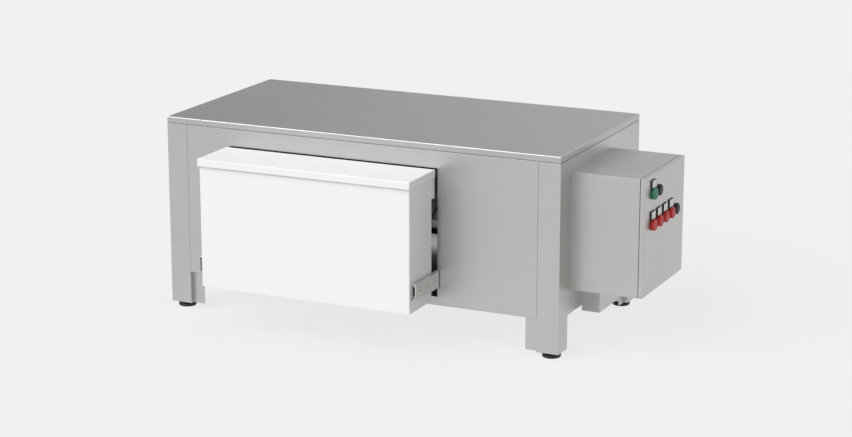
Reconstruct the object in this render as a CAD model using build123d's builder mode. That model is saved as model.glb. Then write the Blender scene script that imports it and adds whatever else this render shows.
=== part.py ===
"""Flake ice machine: a low steel cabinet with a white ice hood on drawer slides.

Millimetres. X runs to the machine's right, Y to its back and Z up. The origin is
the middle of the overall box, on the floor.
"""
from build123d import *
from math import cos, radians, sin
import os

# Cabinet
body_depth = 586.0
body_height = 548.0
cover_rim = 17.0
cover_edge_radius = 3.0
seam_gap = 1.5
panel_gap = 0.5
sheet = 2.0
skirt_height = 108.0
panel_return = 18.0

# Legs and feet
leg_width = 62.0
leg_plate = 6.0
leg_pad_inset = 8.0
gusset_reach = 36.0
gusset_setback = 12.0
foot_height = 16.0
foot_diameter = 50.0
foot_disc = 9.0
foot_chamfer = 2.0
foot_crown = 1.0
foot_nut_diameter = 22.0
stem_diameter = 12.0
stem_length = 45.0
thread_clearance = 0.05

# Ice opening in the front panel, beside the hood's outer faces and over the floor
opening_left_inset = 5.0
opening_right_outset = 6.0
opening_bottom = 131.5
opening_top = 482.5
notch_clearance = 1.5

# Hood and lid
hood_left = 194.0
drum_inset = 34.0
drum_right_inset = 30.0
hood_reach = 159.0
hood_back_gap = 25.0
hood_bottom = 125.0
hood_wall = 6.0
hood_corner_radius = 3.0
hood_ear = 8.0
hood_ear_height = 56.0
groove_width = 1.6
groove_depth = 0.9
groove_places = (12.0, 31.0)
lid_top = 481.0
lid_thickness = 21.0
lid_side_overhang = 3.2
lid_front_overhang = 7.0
lid_back_gap = 8.0
lid_edge_radius = 2.0
lid_flange = 6.0
lid_strip = 10.0
lid_strip_inset = 48.0
lid_strip_gap = 1.0

# Drawer slides
slide_height = 45.0
slide_depth = 12.5
slide_length = 350.0
slide_reach = 148.0
slide_bottom = 159.5
slide_wall = 1.5
slide_running_gap = 0.3
ball_row = 2.3
ball_width = 4.0
slide_screw_diameter = 5.5
slide_screw_places = (30.0, 74.0, 126.0)
outer_lip_gap = 1.2
middle_gap = 2.6
middle_lip_gap = 2.2
middle_front_gap = 3.0
middle_back_gap = 8.0
inner_lip_depth = 7.4
inner_front_gap = 6.0
inner_back_gap = 14.0
bracket_thickness = 3.0
bracket_margin = 8.0
bracket_foot = 30.0

# Drum, its stands and bearings
drum_diameter = 320.0
drum_length = 560.0
drum_wall = 8.0
drum_end = 10.0
axis_back = 235.0
axis_height = 313.0
shaft_diameter = 30.0
running_clearance = 0.05
stand_thickness = 8.0
stand_gap = 22.0
stand_width = 160.0
stand_arch = 70.0
stand_foot = 30.0
stand_foot_thickness = 6.0
arm_margin = 8.0
bearing_diameter = 96.0
bearing_thickness = 12.0
bearing_hub_diameter = 56.0
bearing_hub = 6.0
hub_clearance = 1.0

# Water tank
tank_gap = 20.0
tank_wall = 3.0
tank_end_gap = 18.0
tank_rim_drop = 25.0
saddle_thickness = 30.0
saddle_width = 100.0
saddle_inset = 92.0
saddle_rise = 45.0

# Knife, holder and chute
knife_position = 20.0
knife_slope = 35.0
knife_gap = 0.4
knife_length = 50.0
knife_thickness = 5.0
knife_bevel = 9.0
holder_start = 24.0
holder_end = 60.0
holder_depth = 26.0
holder_land = 18.0
holder_nose = 8.0
chute_length = 38.0
chute_cheek = 20.0
chute_tab = 18.0

# Gearbox and motor
gearbox_width = 120.0
gearbox_length = 90.0
gearbox_radius = 12.0
gearbox_edge_radius = 4.0
flange_length = 22.0
flange_diameter = 150.0
flange_bore = 104.0
shaft_end_cover = 8.0
motor_diameter = 80.0
motor_length = 170.0
motor_flange = 8.0
fin_count = 20
fin_height = 4.0
fin_thickness = 2.5
fan_cover_length = 42.0
fan_cover_radius = 8.0
terminal_length = 80.0
terminal_width = 60.0
terminal_height = 34.0
terminal_edge_radius = 4.0

# Rotary union and refrigerant pipes
union_diameter = 64.0
union_length = 64.0
union_gap = 12.0
union_engagement = 47.0
union_chamfer = 3.0
pipe_reach = 30.0
collar_thickness = 5.0
collar_margin = 4.0
suction_radius = 14.0
suction_wall = 1.5
suction_rise = 36.0
suction_bend = 42.0
liquid_radius = 6.0
liquid_wall = 1.0
liquid_run = 28.0
liquid_bend = 18.0
valve_back = 400.0
valve_length = 52.0
valve_radius = 15.0
valve_head_radius = 22.0
valve_head_height = 30.0
valve_stem_radius = 9.0
valve_edge_radius = 5.5
pass_clearance = 0.3

# Water supply and drain
chamber_gap = 12.0
chamber_length = 140.0
chamber_front = 280.0
chamber_width = 100.0
chamber_bottom = 203.0
chamber_height = 120.0
chamber_wall = 3.0
pipe_room = 90.0
feed_back = 330.0
feed_height = 238.0
feed_radius = 8.0
feed_wall = 1.5
inlet_radius = 10.0
inlet_bore = 7.0
inlet_block = 20.0
inlet_drop = 20.0
float_radius = 27.0
float_arm_length = 80.0
float_arm_radius = 2.5
float_drop = 14.0
float_pin_radius = 2.0
float_eye_radius = 5.0
float_eye_width = 7.4
float_ear = 4.0
float_ear_length = 12.0
drain_radius = 10.0
drain_wall = 1.5
drain_height = 151.0
drain_run = 76.0
drain_bend = 26.0
drain_tail = 30.0

# Safety switch and magnet
switch_width = 48.0
switch_show = 20.0
switch_depth = 16.0
switch_height = 60.0
switch_drop = 20.5
switch_edge_radius = 3.0
magnet_edge_radius = 2.0
magnet_width = 20.0
magnet_height = 40.0
magnet_thickness = 6.0
magnet_inset = 4.0

# Control box
box_depth = 190.0
box_width = 310.0
box_height = 317.0
box_front = 70.0
box_bottom = 176.0
box_rim = 14.0
box_sheet = 2.0
door_gap = 1.5
door_depth = 12.5
door_edge_radius = 2.6
gasket_inset = 3.0
gasket_width = 9.0
gasket_gap = 0.3
hinge_height = 50.0
hinge_inset = 52.0
hinge_offset = 6.0
hinge_radius = 5.0
hinge_pin_radius = 2.5
hinge_leaf = 2.5
hinge_leaf_length = 24.0
hinge_door_leaf_length = 9.0
hinge_gap = 0.4
hinge_leaf_gap = 3.0
duct_depth = 51.0
duct_front = 165.0
duct_width = 147.0
duct_bottom = 93.0
duct_lip = 10.0

# Lamps and buttons
lamp_columns = 5
lamp_pitch = 47.0
lamp_first = 59.0
red_row = 185.0
green_row = 268.0
device_hole_radius = 11.4
lens_radius = 14.8
lens_height = 9.5
lens_edge_radius = 1.5
holder_sheet = 1.5
label_frame_height = 4.0
label_holder_width = 30.0
label_frame_start = 16.0
label_frame_top = 37.0
label_inset = 1.0
label_pocket = 1.0
label_thickness = 1.2
bezel_edge_radius = 1.0
bezel_height = 6.5
cap_radius = 11.0
cap_rise = 8.5
cap_edge_radius = 0.8
cap_thickness = 4.0
cap_stem_radius = 8.0
cap_stem_length = 7.0
neck_radius = 11.1
neck_bore = 8.3
block_width = 30.0
block_depth = 34.0
block_standoff = 10.0
nut_radius = 14.5
nut_thickness = 4.0

# Parts inside the control box
plate_standoff = 8.0
plate_thickness = 2.5
plate_margin = 20.0
standoff_radius = 5.0
rail_width = 35.0
rail_depth = 7.5
rail_margin = 12.0
upper_rail = 215.0
lower_rail = 85.0
contactor_width = 45.0
contactor_depth = 75.0
contactor_height = 80.0
contactor_count = 3
contactor_pitch = 62.0
contactor_base_depth = 50.0
contactor_head_height = 48.0
terminal_count = 14
terminal_pitch = 15.0
terminal_block_depth = 42.0
terminal_block_height = 52.0
terminal_slot = 1.6

# Places worked out from the sizes above
hood_front_reach = hood_reach + lid_front_overhang
drum_left = hood_left + drum_inset
hood_width = drum_inset + drum_length + drum_right_inset
drive_length = stand_gap + stand_thickness + flange_length + gearbox_length
body_width = drum_left + drum_length + drive_length + chamber_gap + chamber_length + pipe_room
lamp_height = holder_sheet + lens_height
overall_length = body_width + box_depth + door_gap + door_depth + lamp_height
overall_depth = hood_front_reach + body_depth + pipe_reach
left = -overall_length / 2
right = left + body_width
front = -overall_depth / 2 + hood_front_reach
back = front + body_depth
seam = body_height - cover_rim
panel_top = seam - seam_gap
floor_plate = skirt_height + sheet
floor_top = floor_plate + sheet
inner_left = left + leg_width
inner_right = right - leg_width
hood_x0 = left + hood_left
hood_x1 = hood_x0 + hood_width
hood_middle = (hood_x0 + hood_x1) / 2
lid_bottom = lid_top - lid_thickness
axis_y = front + axis_back
axis_z = axis_height
suction_height = axis_z + union_diameter / 2 + suction_rise + suction_bend
drum_x0 = left + drum_left
drum_x1 = drum_x0 + drum_length
stand_left_x = drum_x0 - stand_gap
stand_right_x = drum_x1 + stand_gap
union_x1 = stand_left_x - stand_thickness - bearing_thickness - union_gap
union_x0 = union_x1 - union_length
gearbox_x0 = stand_right_x + stand_thickness + flange_length
gearbox_x1 = gearbox_x0 + gearbox_length
chamber_x0 = gearbox_x1 + chamber_gap
chamber_x1 = chamber_x0 + chamber_length
tank_x0 = drum_x0 - tank_end_gap
tank_x1 = drum_x1 + tank_end_gap
edge_y = axis_y - (drum_diameter / 2 + knife_gap) * cos(radians(knife_position))
edge_z = axis_z + (drum_diameter / 2 + knife_gap) * sin(radians(knife_position))
drum_radius = drum_diameter / 2
shaft_radius = shaft_diameter / 2
box_x1 = right + box_depth
door_back = box_x1 + door_gap
door_face = door_back + door_depth
box_y0 = front + box_front
box_y1 = box_y0 + box_width
box_z1 = box_bottom + box_height

os.makedirs("parts", exist_ok=True)


def save(name, label):
    """Label a finished piece and write it to its own file."""
    name.part.label = label
    export_step(name.part, f"parts/{label}.step")


def rectangle(x0, x1, y0, y1, mode=Mode.ADD):
    """A rectangle between two corners, in the sketch being drawn."""
    with Locations(((x0 + x1) / 2, (y0 + y1) / 2)):
        Rectangle(x1 - x0, y1 - y0, mode=mode)


def block(x0, x1, y0, y1, z0, z1, mode=Mode.ADD):
    """A block between two corners, in the part being built."""
    with Locations(((x0 + x1) / 2, (y0 + y1) / 2, (z0 + z1) / 2)):
        Box(x1 - x0, y1 - y0, z1 - z0, mode=mode)


def facing_front(y):
    """A sketch plane at depth y, drawn in world X and Z; a negative extrusion goes back."""
    return Plane(origin=(0, y, 0), x_dir=(1, 0, 0), z_dir=(0, -1, 0))


# Corner legs: square tube with a pad that carries the cover, a threaded end plate and a narrow welded gusset
gusset_runs_along_x = {"front": True, "rear": False}
for depth_name, side_name in (("front", "left"), ("front", "right"), ("rear", "left"), ("rear", "right")):
    leg_x0 = left if side_name == "left" else right - leg_width
    leg_y0 = front if depth_name == "front" else back - leg_width
    leg_x = leg_x0 + leg_width / 2
    leg_y = leg_y0 + leg_width / 2
    with BuildPart() as leg:
        with BuildSketch(Plane.XY.offset(foot_height)):
            with Locations((leg_x, leg_y)):
                Rectangle(leg_width, leg_width)
                Rectangle(leg_width - 2 * sheet, leg_width - 2 * sheet, mode=Mode.SUBTRACT)
        extrude(amount=panel_top - foot_height)
        with BuildSketch(Plane.XY.offset(panel_top - leg_plate)):
            with Locations((leg_x, leg_y)):
                Rectangle(leg_width - sheet, leg_width - sheet)
                Circle(stem_diameter, mode=Mode.SUBTRACT)
        extrude(amount=leg_plate)
        with BuildSketch(Plane.XY.offset(panel_top)):
            with Locations((leg_x, leg_y)):
                Rectangle(leg_width - 2 * leg_pad_inset, leg_width - 2 * leg_pad_inset)
                Circle(stem_diameter, mode=Mode.SUBTRACT)
        extrude(amount=body_height - sheet - panel_top)
        with BuildSketch(Plane.XY.offset(foot_height)):
            with Locations((leg_x, leg_y)):
                Rectangle(leg_width - sheet, leg_width - sheet)
                Circle(stem_diameter / 2 + thread_clearance, mode=Mode.SUBTRACT)
        extrude(amount=leg_plate)
        if gusset_runs_along_x[depth_name]:
            reach = leg_x0 + leg_width if side_name == "left" else leg_x0 - gusset_reach
            block(reach, reach + gusset_reach, front + gusset_setback, front + gusset_setback + sheet,
                  foot_height, skirt_height)
        else:
            side = left + gusset_setback if side_name == "left" else right - gusset_setback - sheet
            block(side, side + sheet, leg_y0 - gusset_reach, leg_y0, foot_height, skirt_height)
    save(leg, f"{depth_name}_{side_name}_leg")

# Levelling feet: a disc, a nut against the leg's end plate and a threaded stem
with BuildPart() as feet:
    foot_xs = (left + leg_width / 2, right - leg_width / 2)
    foot_ys = (front + leg_width / 2, back - leg_width / 2)
    for foot_x in foot_xs:
        for foot_y in foot_ys:
            with BuildSketch(Plane(origin=(foot_x, foot_y, 0), x_dir=(1, 0, 0), z_dir=(0, -1, 0))):
                with BuildLine():
                    Polyline(
                        (0, 0),
                        (foot_diameter / 2 - foot_chamfer, 0),
                        (foot_diameter / 2, foot_chamfer),
                        (foot_diameter / 2, foot_disc - foot_chamfer),
                        (foot_diameter / 2 - foot_chamfer, foot_disc),
                        (foot_nut_diameter / 2, foot_disc + foot_crown),
                        (foot_nut_diameter / 2, foot_height),
                        (stem_diameter / 2, foot_height),
                        (stem_diameter / 2, foot_height + stem_length),
                        (0, foot_height + stem_length),
                        close=True,
                    )
                make_face()
            revolve(axis=Axis((foot_x, foot_y, 0), (0, 0, 1)))
save(feet, "levelling_feet")

# Front panel: folded sheet with the ice opening and a notch for each slide
notch_left = hood_x0 - slide_depth - notch_clearance
notch_right = hood_x1 + slide_depth + notch_clearance
notch_bottom = slide_bottom - notch_clearance
notch_top = slide_bottom + slide_height + notch_clearance
opening_x1 = hood_x1 + opening_right_outset
with BuildPart() as front_panel:
    with BuildSketch(facing_front(front)):
        rectangle(inner_left + panel_gap, inner_right - panel_gap, skirt_height, panel_top)
        rectangle(hood_x0 + opening_left_inset, opening_x1, opening_bottom, opening_top, Mode.SUBTRACT)
        rectangle(notch_left, notch_right, notch_bottom, notch_top, Mode.SUBTRACT)
    extrude(amount=-sheet)
    for flange_z in (skirt_height, panel_top - sheet):
        block(inner_left + panel_gap, inner_right - panel_gap, front, front + panel_return,
              flange_z, flange_z + sheet)
save(front_panel, "front_panel")

# Side panels: folded sheets between the legs
cable_cut_y0 = front + duct_front + duct_lip
cable_cut_y1 = front + duct_front + duct_width - duct_lip
for side_name in ("left", "right"):
    face_x = left if side_name == "left" else right - sheet
    flange_x = left if side_name == "left" else right - panel_return
    with BuildPart() as side_panel:
        panel_y0 = front + leg_width + panel_gap
        panel_y1 = back - leg_width - panel_gap
        block(face_x, face_x + sheet, panel_y0, panel_y1, skirt_height, panel_top)
        for flange_z in (skirt_height, panel_top - sheet):
            block(flange_x, flange_x + panel_return, panel_y0, panel_y1, flange_z, flange_z + sheet)
        if side_name == "right":
            block(face_x - 1, face_x + sheet + 1, cable_cut_y0, cable_cut_y1,
                  floor_top + duct_lip, box_bottom - duct_lip, Mode.SUBTRACT)
    save(side_panel, f"{side_name}_side_panel")

# Rear panel: folded sheet with the three pipe holes
suction_x = union_x1 - union_length / 2
liquid_x = union_x0 - liquid_run
inlet_x = chamber_x1 + inlet_block / 2
inlet_z = chamber_bottom + chamber_height - inlet_drop
rear_holes = (
    (suction_x, suction_height, suction_radius),
    (liquid_x, axis_z, liquid_radius),
    (inlet_x, inlet_z, inlet_radius),
)
with BuildPart() as rear_panel:
    with BuildSketch(facing_front(back)):
        rectangle(inner_left + panel_gap, inner_right - panel_gap, skirt_height, panel_top)
        for hole_x, hole_z, hole_radius in rear_holes:
            with Locations((hole_x, hole_z)):
                Circle(hole_radius + pass_clearance, mode=Mode.SUBTRACT)
    extrude(amount=sheet)
    for flange_z in (skirt_height, panel_top - sheet):
        block(inner_left + panel_gap, inner_right - panel_gap, back - panel_return, back,
              flange_z, flange_z + sheet)
save(rear_panel, "rear_panel")

# Base plate: lies on the panels' lower folds, cut out round the legs
drain_x = tank_x1 + drain_run
with BuildPart() as base_plate:
    with BuildSketch(Plane.XY.offset(floor_plate)):
        rectangle(left + sheet, right - sheet, front + sheet, back - sheet)
        for leg_x in (left + leg_width / 2, right - leg_width / 2):
            for leg_y in (front + leg_width / 2, back - leg_width / 2):
                with Locations((leg_x, leg_y)):
                    Rectangle(leg_width, leg_width, mode=Mode.SUBTRACT)
        with Locations((drain_x, axis_y)):
            Circle(drain_radius + pass_clearance, mode=Mode.SUBTRACT)
    extrude(amount=sheet)
save(base_plate, "base_plate")

# Top cover: a shallow tray, open below, that rests on the legs' pads
with BuildPart() as top_cover:
    with BuildSketch(Plane.XY.offset(seam)):
        rectangle(left, right, front, back)
    extrude(amount=cover_rim)
    fillet(top_cover.edges().group_by(Axis.Z)[-1], cover_edge_radius)
    offset(amount=-sheet, openings=top_cover.faces().sort_by(Axis.Z)[0])
save(top_cover, "top_cover")

# Slide brackets: angle plates on the base plate, outside each slide
slide_back = front - slide_reach + slide_length
slide_middle_z = slide_bottom + slide_height / 2
with BuildPart() as slide_brackets:
    for direction in (-1, 1):
        web_x = hood_middle + direction * (hood_width / 2 + slide_depth + bracket_thickness / 2)
        foot_x = hood_middle + direction * (hood_width / 2 + slide_depth + bracket_foot / 2)
        with Locations((web_x, (front + 2 * sheet + slide_back + bracket_margin) / 2,
                        (floor_top + notch_top) / 2)):
            Box(bracket_thickness, slide_back + bracket_margin - front - 2 * sheet, notch_top - floor_top)
        with Locations((foot_x, (front + panel_return + slide_back + bracket_margin) / 2,
                        floor_top + bracket_thickness / 2)):
            Box(bracket_foot, slide_back + bracket_margin - front - panel_return, bracket_thickness)
save(slide_brackets, "slide_brackets")

# Drawer slides: an outer, a middle and an inner channel on each side of the hood
middle_height = slide_height - 2 * (slide_wall + slide_running_gap + ball_row)
inner_height = middle_height - 2 * (slide_wall + slide_running_gap + ball_row)


def slide_member(label, direction, web_near, web_far, flange_end, height, rows, y0, y1, holes=()):
    """One channel of a slide. Depths are measured from the hood's side, outwards."""

    def across(depth):
        return hood_middle + direction * (hood_width / 2 + depth)

    with BuildPart() as member:
        with BuildSketch(facing_front(y0)):
            low = slide_middle_z - height / 2
            high = slide_middle_z + height / 2
            web = sorted((across(web_near), across(web_far)))
            lip = sorted((across(web_near), across(flange_end)))
            rectangle(web[0], web[1], low, high)
            rectangle(lip[0], lip[1], low, low + slide_wall)
            rectangle(lip[0], lip[1], high - slide_wall, high)
            if rows:
                row_middle = across((web_near + flange_end) / 2)
                for row_z in (low - ball_row / 2, high + ball_row / 2):
                    with Locations((row_middle, row_z)):
                        Rectangle(ball_width, ball_row)
        extrude(amount=y0 - y1)
        for hole_y in holes:
            with Locations(Plane(origin=(across((web_near + web_far) / 2), hole_y, slide_middle_z),
                                 x_dir=(0, 1, 0), z_dir=(1, 0, 0))):
                Cylinder(slide_screw_diameter / 2, 4 * slide_wall, mode=Mode.SUBTRACT)
    save(member, label)


for side_name, direction in (("left", -1), ("right", 1)):
    slide_front = front - slide_reach
    slide_member(f"{side_name}_slide_outer", direction, slide_depth, slide_depth - slide_wall, outer_lip_gap,
                 slide_height, False, slide_front, slide_back,
                 [slide_front + place for place in slide_screw_places])
    slide_member(f"{side_name}_slide_middle", direction, slide_depth - middle_gap,
                 slide_depth - middle_gap - slide_wall, middle_lip_gap, middle_height, True,
                 slide_front + middle_front_gap, slide_back - middle_back_gap)
    slide_member(f"{side_name}_slide_inner", direction, 0, slide_wall, inner_lip_depth,
                 inner_height, True, slide_front + inner_front_gap, slide_back - inner_back_gap)

# Hood: front and two sides of plastic board, open below and behind
hood_y0 = front - hood_reach
hood_y1 = front - hood_back_gap
with BuildPart() as hood_shell:
    with BuildSketch(Plane.XY.offset(hood_bottom)):
        rectangle(hood_x0, hood_x1, hood_y0, hood_y1)
        rectangle(hood_x0 + hood_wall, hood_x1 - hood_wall, hood_y0 + hood_wall, hood_y1 + 1, Mode.SUBTRACT)
    extrude(amount=lid_bottom - hood_bottom)
    fillet(hood_shell.edges().filter_by(Axis.Z).filter_by_position(Axis.Y, hood_y0 - 0.1, hood_y0 + 0.1),
           hood_corner_radius)
    for ear_x0 in (hood_x0, hood_x1 - hood_wall):
        block(ear_x0, ear_x0 + hood_wall, hood_y1, hood_y1 + hood_ear, lid_bottom - hood_ear_height, lid_bottom)
    for place in groove_places:
        for groove_x in (hood_x0, hood_x1):
            block(groove_x - groove_depth, groove_x + groove_depth,
                  hood_y1 - place - groove_width, hood_y1 - place,
                  notch_top + bracket_margin, lid_bottom, Mode.SUBTRACT)
save(hood_shell, "hood_shell")

# Lid: plastic board that rests on the hood, with a flange hanging from its back edge
lid_x0 = hood_x0 - lid_side_overhang
lid_x1 = hood_x1 + lid_side_overhang
lid_y0 = hood_y0 - lid_front_overhang
lid_y1 = front - lid_back_gap
strip_y0 = hood_y0 + hood_wall + lid_strip_gap
with BuildPart() as hood_lid:
    with BuildSketch(Plane.XY.offset(lid_bottom)):
        rectangle(lid_x0, lid_x1, lid_y0, lid_y1)
    extrude(amount=lid_thickness)
    fillet(hood_lid.edges(), lid_edge_radius)
    block(lid_x0 + lid_edge_radius, lid_x1 - lid_edge_radius, lid_y1 - lid_flange, lid_y1,
          lid_bottom - hood_ear_height, lid_bottom + lid_thickness / 2)
    block(hood_x0 + lid_strip_inset, hood_x1 - lid_strip_inset, strip_y0, strip_y0 + lid_strip,
          lid_bottom - lid_strip, lid_bottom + lid_edge_radius)
save(hood_lid, "hood_lid")

# Safety switch behind the opening's right edge, and its magnet on the lid's flange
switch_x0 = opening_x1 - switch_show
switch_z1 = opening_top - switch_drop
with BuildPart() as safety_switch:
    block(switch_x0, switch_x0 + switch_width, front + sheet, front + sheet + switch_depth,
          switch_z1 - switch_height, switch_z1)
    fillet(safety_switch.edges().filter_by(Axis.Y), switch_edge_radius)
save(safety_switch, "safety_switch")

with BuildPart() as switch_magnet:
    magnet_x1 = lid_x1 - lid_edge_radius - magnet_inset
    magnet_z1 = switch_z1 - (switch_height - magnet_height) / 2
    block(magnet_x1 - magnet_width, magnet_x1, lid_y1, lid_y1 + magnet_thickness,
          magnet_z1 - magnet_height, magnet_z1)
    fillet(switch_magnet.edges().filter_by(Axis.Y), magnet_edge_radius)
save(switch_magnet, "switch_magnet")

# The knife, its holder and the chute share one sloping plane that starts at the knife's edge
slope = (0, -cos(radians(knife_slope)), -sin(radians(knife_slope)))


def knife_plane(x):
    """Local x runs down the knife from its edge, local y runs away from its upper face."""
    return Plane(origin=(x, edge_y, edge_z), x_dir=slope, z_dir=(1, 0, 0))


# Drum stands: plates with an arch below, a round head and an arm for the knife holder
stand_y0 = axis_y - stand_width / 2
stand_y1 = axis_y + stand_width / 2
arm_length = (stand_y0 + stand_width / 4 - edge_y) / sin(radians(knife_slope))
with BuildPart() as drum_stands:
    for stand_x, foot_x in ((stand_left_x - stand_thickness, stand_left_x),
                            (stand_right_x, stand_right_x - stand_foot)):
        with BuildSketch(Plane.YZ.offset(stand_x)):
            rectangle(stand_y0, stand_y1, floor_top, axis_z)
            with Locations((axis_y, axis_z)):
                Circle(stand_width / 2)
            with Locations((axis_y, axis_z)):
                Circle(bearing_hub_diameter / 2 + hub_clearance, mode=Mode.SUBTRACT)
            rectangle(axis_y - stand_arch / 2, axis_y + stand_arch / 2, floor_top, floor_top + stand_arch,
                      Mode.SUBTRACT)
            with Locations((axis_y, floor_top + stand_arch)):
                Circle(stand_arch / 2, mode=Mode.SUBTRACT)
        extrude(amount=stand_thickness)
        with BuildSketch(knife_plane(stand_x)):
            rectangle(holder_start - arm_margin, holder_end + arm_margin, 0, arm_length)
        extrude(amount=stand_thickness)
        for foot_y0, foot_y1 in ((stand_y0, axis_y - stand_arch / 2), (axis_y + stand_arch / 2, stand_y1)):
            block(foot_x, foot_x + stand_foot, foot_y0, foot_y1, floor_top, floor_top + stand_foot_thickness)
save(drum_stands, "drum_stands")

# Bearings: round flange units on the stands' outer faces
with BuildPart() as drum_bearings:
    for face_x, outward in ((stand_left_x - stand_thickness, -1), (stand_right_x + stand_thickness, 1)):
        with BuildSketch(Plane(origin=(face_x, axis_y, axis_z), x_dir=(0, outward, 0), z_dir=(outward, 0, 0))):
            Circle(bearing_diameter / 2)
            Circle(shaft_radius + running_clearance, mode=Mode.SUBTRACT)
        extrude(amount=bearing_thickness)
        with BuildSketch(Plane(origin=(face_x, axis_y, axis_z), x_dir=(0, outward, 0), z_dir=(outward, 0, 0))):
            Circle(bearing_hub_diameter / 2)
            Circle(shaft_radius + running_clearance, mode=Mode.SUBTRACT)
        extrude(amount=-bearing_hub)
save(drum_bearings, "drum_bearings")

# Drum: a closed shell with welded end plates, and a shaft end on each side
shaft_x0 = union_x1 - union_engagement
shaft_x1 = gearbox_x1 - shaft_end_cover
drum_plane = Plane(origin=(0, axis_y, axis_z), x_dir=(1, 0, 0), z_dir=(0, -1, 0))
with BuildPart() as evaporator_drum:
    with BuildSketch(drum_plane):
        rectangle(drum_x0, drum_x1, drum_radius - drum_wall, drum_radius)
        rectangle(drum_x0, drum_x0 + drum_end, 0, drum_radius)
        rectangle(drum_x1 - drum_end, drum_x1, 0, drum_radius)
        rectangle(shaft_x0, drum_x0, 0, shaft_radius)
        rectangle(drum_x1, shaft_x1, 0, shaft_radius)
    revolve(axis=Axis((0, axis_y, axis_z), (1, 0, 0)))
save(evaporator_drum, "evaporator_drum")

# Water tank: a round trough under the drum, open above
tank_inner = drum_radius + tank_gap
tank_outer = tank_inner + tank_wall
tank_rim = axis_z - tank_rim_drop


def trough_section(radius):
    """The round section below the tank's rim, in the sketch being drawn."""
    with Locations((axis_y, axis_z)):
        Circle(radius)
    rectangle(axis_y - 2 * radius, axis_y + 2 * radius, tank_rim, axis_z + 2 * radius, Mode.SUBTRACT)


with BuildPart() as water_tank:
    with BuildSketch(Plane.YZ.offset(tank_x0)):
        trough_section(tank_outer)
    extrude(amount=tank_x1 - tank_x0)
    with BuildSketch(Plane.YZ.offset(tank_x0 + tank_wall)):
        trough_section(tank_inner)
    extrude(amount=tank_x1 - tank_x0 - 2 * tank_wall, mode=Mode.SUBTRACT)
    with BuildSketch(Plane.YZ.offset(tank_x1 - 2 * tank_wall)):
        with Locations((axis_y, drain_height)):
            Circle(drain_radius - drain_wall)
        with Locations((front + feed_back, feed_height)):
            Circle(feed_radius - feed_wall)
    extrude(amount=3 * tank_wall, mode=Mode.SUBTRACT)
save(water_tank, "water_tank")

# Saddles: two cradles between the base plate and the tank
with BuildPart() as tank_saddles:
    for saddle_x in (tank_x0 + saddle_inset, tank_x1 - saddle_inset - saddle_thickness):
        with BuildSketch(Plane.YZ.offset(saddle_x)):
            rectangle(axis_y - saddle_width / 2, axis_y + saddle_width / 2, floor_top, floor_top + saddle_rise)
            with Locations((axis_y, axis_z)):
                Circle(tank_outer, mode=Mode.SUBTRACT)
        extrude(amount=saddle_thickness)
save(tank_saddles, "tank_saddles")

# Knife: a bevelled bar the length of the drum
with BuildPart() as scraper_knife:
    with BuildSketch(knife_plane(drum_x0)):
        with BuildLine():
            Polyline(
                (0, 0),
                (knife_length, 0),
                (knife_length, knife_thickness),
                (knife_bevel, knife_thickness),
                close=True,
            )
        make_face()
    extrude(amount=drum_length)
save(scraper_knife, "scraper_knife")

# Knife holder: a beam under the knife, from stand to stand
with BuildPart() as knife_holder:
    with BuildSketch(knife_plane(stand_left_x)):
        with BuildLine():
            Polyline(
                (holder_start, knife_thickness),
                (holder_end, knife_thickness),
                (holder_end, knife_thickness + holder_depth),
                (holder_end - holder_land, knife_thickness + holder_depth),
                (holder_start, knife_thickness + holder_nose),
                close=True,
            )
        make_face()
    extrude(amount=stand_right_x - stand_left_x)
save(knife_holder, "knife_holder")

# Ice chute: a folded sheet with cheeks, below the knife
with BuildPart() as ice_chute:
    with BuildSketch(knife_plane(drum_x0)):
        rectangle(holder_end, holder_end + chute_length, knife_thickness, knife_thickness + sheet)
        rectangle(holder_end, holder_end + sheet, knife_thickness, knife_thickness + chute_tab)
    extrude(amount=drum_length)
    for cheek_x in (drum_x0, drum_x1 - sheet):
        with BuildSketch(knife_plane(cheek_x)):
            rectangle(holder_end, holder_end + chute_length, knife_thickness - chute_cheek,
                      knife_thickness + sheet)
        extrude(amount=sheet)
save(ice_chute, "ice_chute")

# Gearbox: hangs on the right stand by its ring flange, round the bearing
with BuildPart() as gearbox:
    with BuildSketch(Plane.YZ.offset(gearbox_x0)):
        with Locations((axis_y, axis_z)):
            RectangleRounded(gearbox_width, gearbox_width, gearbox_radius)
    extrude(amount=gearbox_length)
    fillet(gearbox.edges().group_by(Axis.X)[-1], gearbox_edge_radius)
    with BuildSketch(Plane.YZ.offset(stand_right_x + stand_thickness)):
        with Locations((axis_y, axis_z)):
            Circle(flange_diameter / 2)
            Circle(flange_bore / 2, mode=Mode.SUBTRACT)
    extrude(amount=flange_length)
    with BuildSketch(Plane.YZ.offset(gearbox_x0)):
        with Locations((axis_y, axis_z)):
            Circle(shaft_radius + running_clearance)
    extrude(amount=gearbox_length, mode=Mode.SUBTRACT)
save(gearbox, "gearbox")

# Drive motor: finned body with a terminal box and a fan cover, behind the gearbox
motor_x = (gearbox_x0 + gearbox_x1) / 2
motor_y0 = axis_y + gearbox_width / 2
motor_radius = motor_diameter / 2


def motor_section(y):
    """A sketch plane across the motor at depth y; extruding goes back."""
    return Plane(origin=(motor_x, y, axis_z), x_dir=(-1, 0, 0), z_dir=(0, 1, 0))


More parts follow.
